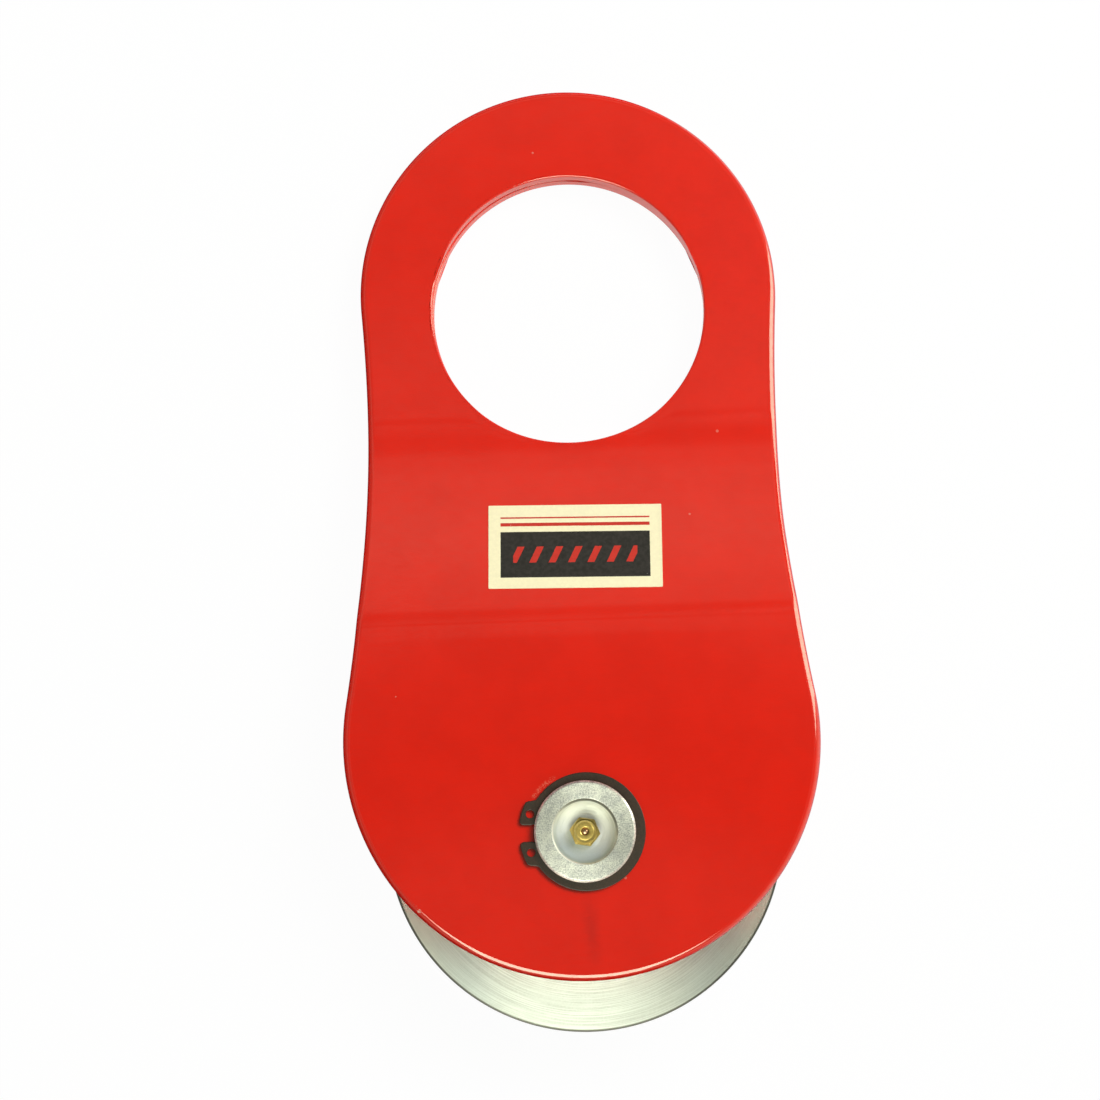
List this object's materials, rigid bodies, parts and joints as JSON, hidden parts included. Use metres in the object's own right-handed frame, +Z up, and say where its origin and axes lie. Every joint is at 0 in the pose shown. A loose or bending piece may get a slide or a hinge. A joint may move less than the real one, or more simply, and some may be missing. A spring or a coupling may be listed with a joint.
{
  "type": "snatch block",
  "caption": "Red snatch block: swinging cheek plates with a joggle and a large eye, a grooved sheave on a headed pin with a retaining ring and a grease nipple.",
  "frame": {"origin": "middle of the foot of the bounding box, on the surface that the block lies on", "axes": "+Y from the pin to the eye along the surface, +X across the plates, +Z up; the pin leans 5.9 degrees from +Z towards +Y"},
  "size_m": [0.142, 0.2862, 0.0575],
  "materials": {
    "red_paint": "gloss red enamel",
    "zinc": "turned and zinc plated",
    "black_steel": "black phosphate",
    "bronze": "turned",
    "brass": "turned",
    "bright_steel": "polished",
    "sticker": "printed film"
  },
  "bodies": {
    "block": {"rear_cheek_plate": "red_paint", "axle_pin": "zinc", "retaining_ring": "black_steel", "grease_nipple": "brass", "nipple_ball": "bright_steel", "nipple_spring": "bright_steel", "front_thrust_washer": "bright_steel", "rear_thrust_washer": "bright_steel"},
    "swing_plate": {"front_cheek_plate": "red_paint", "label": "sticker"},
    "wheel": {"sheave": "zinc", "sheave_bush": "bronze"}
  },
  "joints": [
    {"name": "plate_swing", "type": "hinge", "parent": "block", "child": "swing_plate", "pos_m": [0, -0.08309, 0.02931], "axis": [0, 0.1031, 0.9947], "continuous": true},
    {"name": "sheave_spin", "type": "hinge", "parent": "block", "child": "wheel", "pos_m": [0, -0.08309, 0.02931], "axis": [0, 0.1031, 0.9947], "continuous": true}
  ]
}
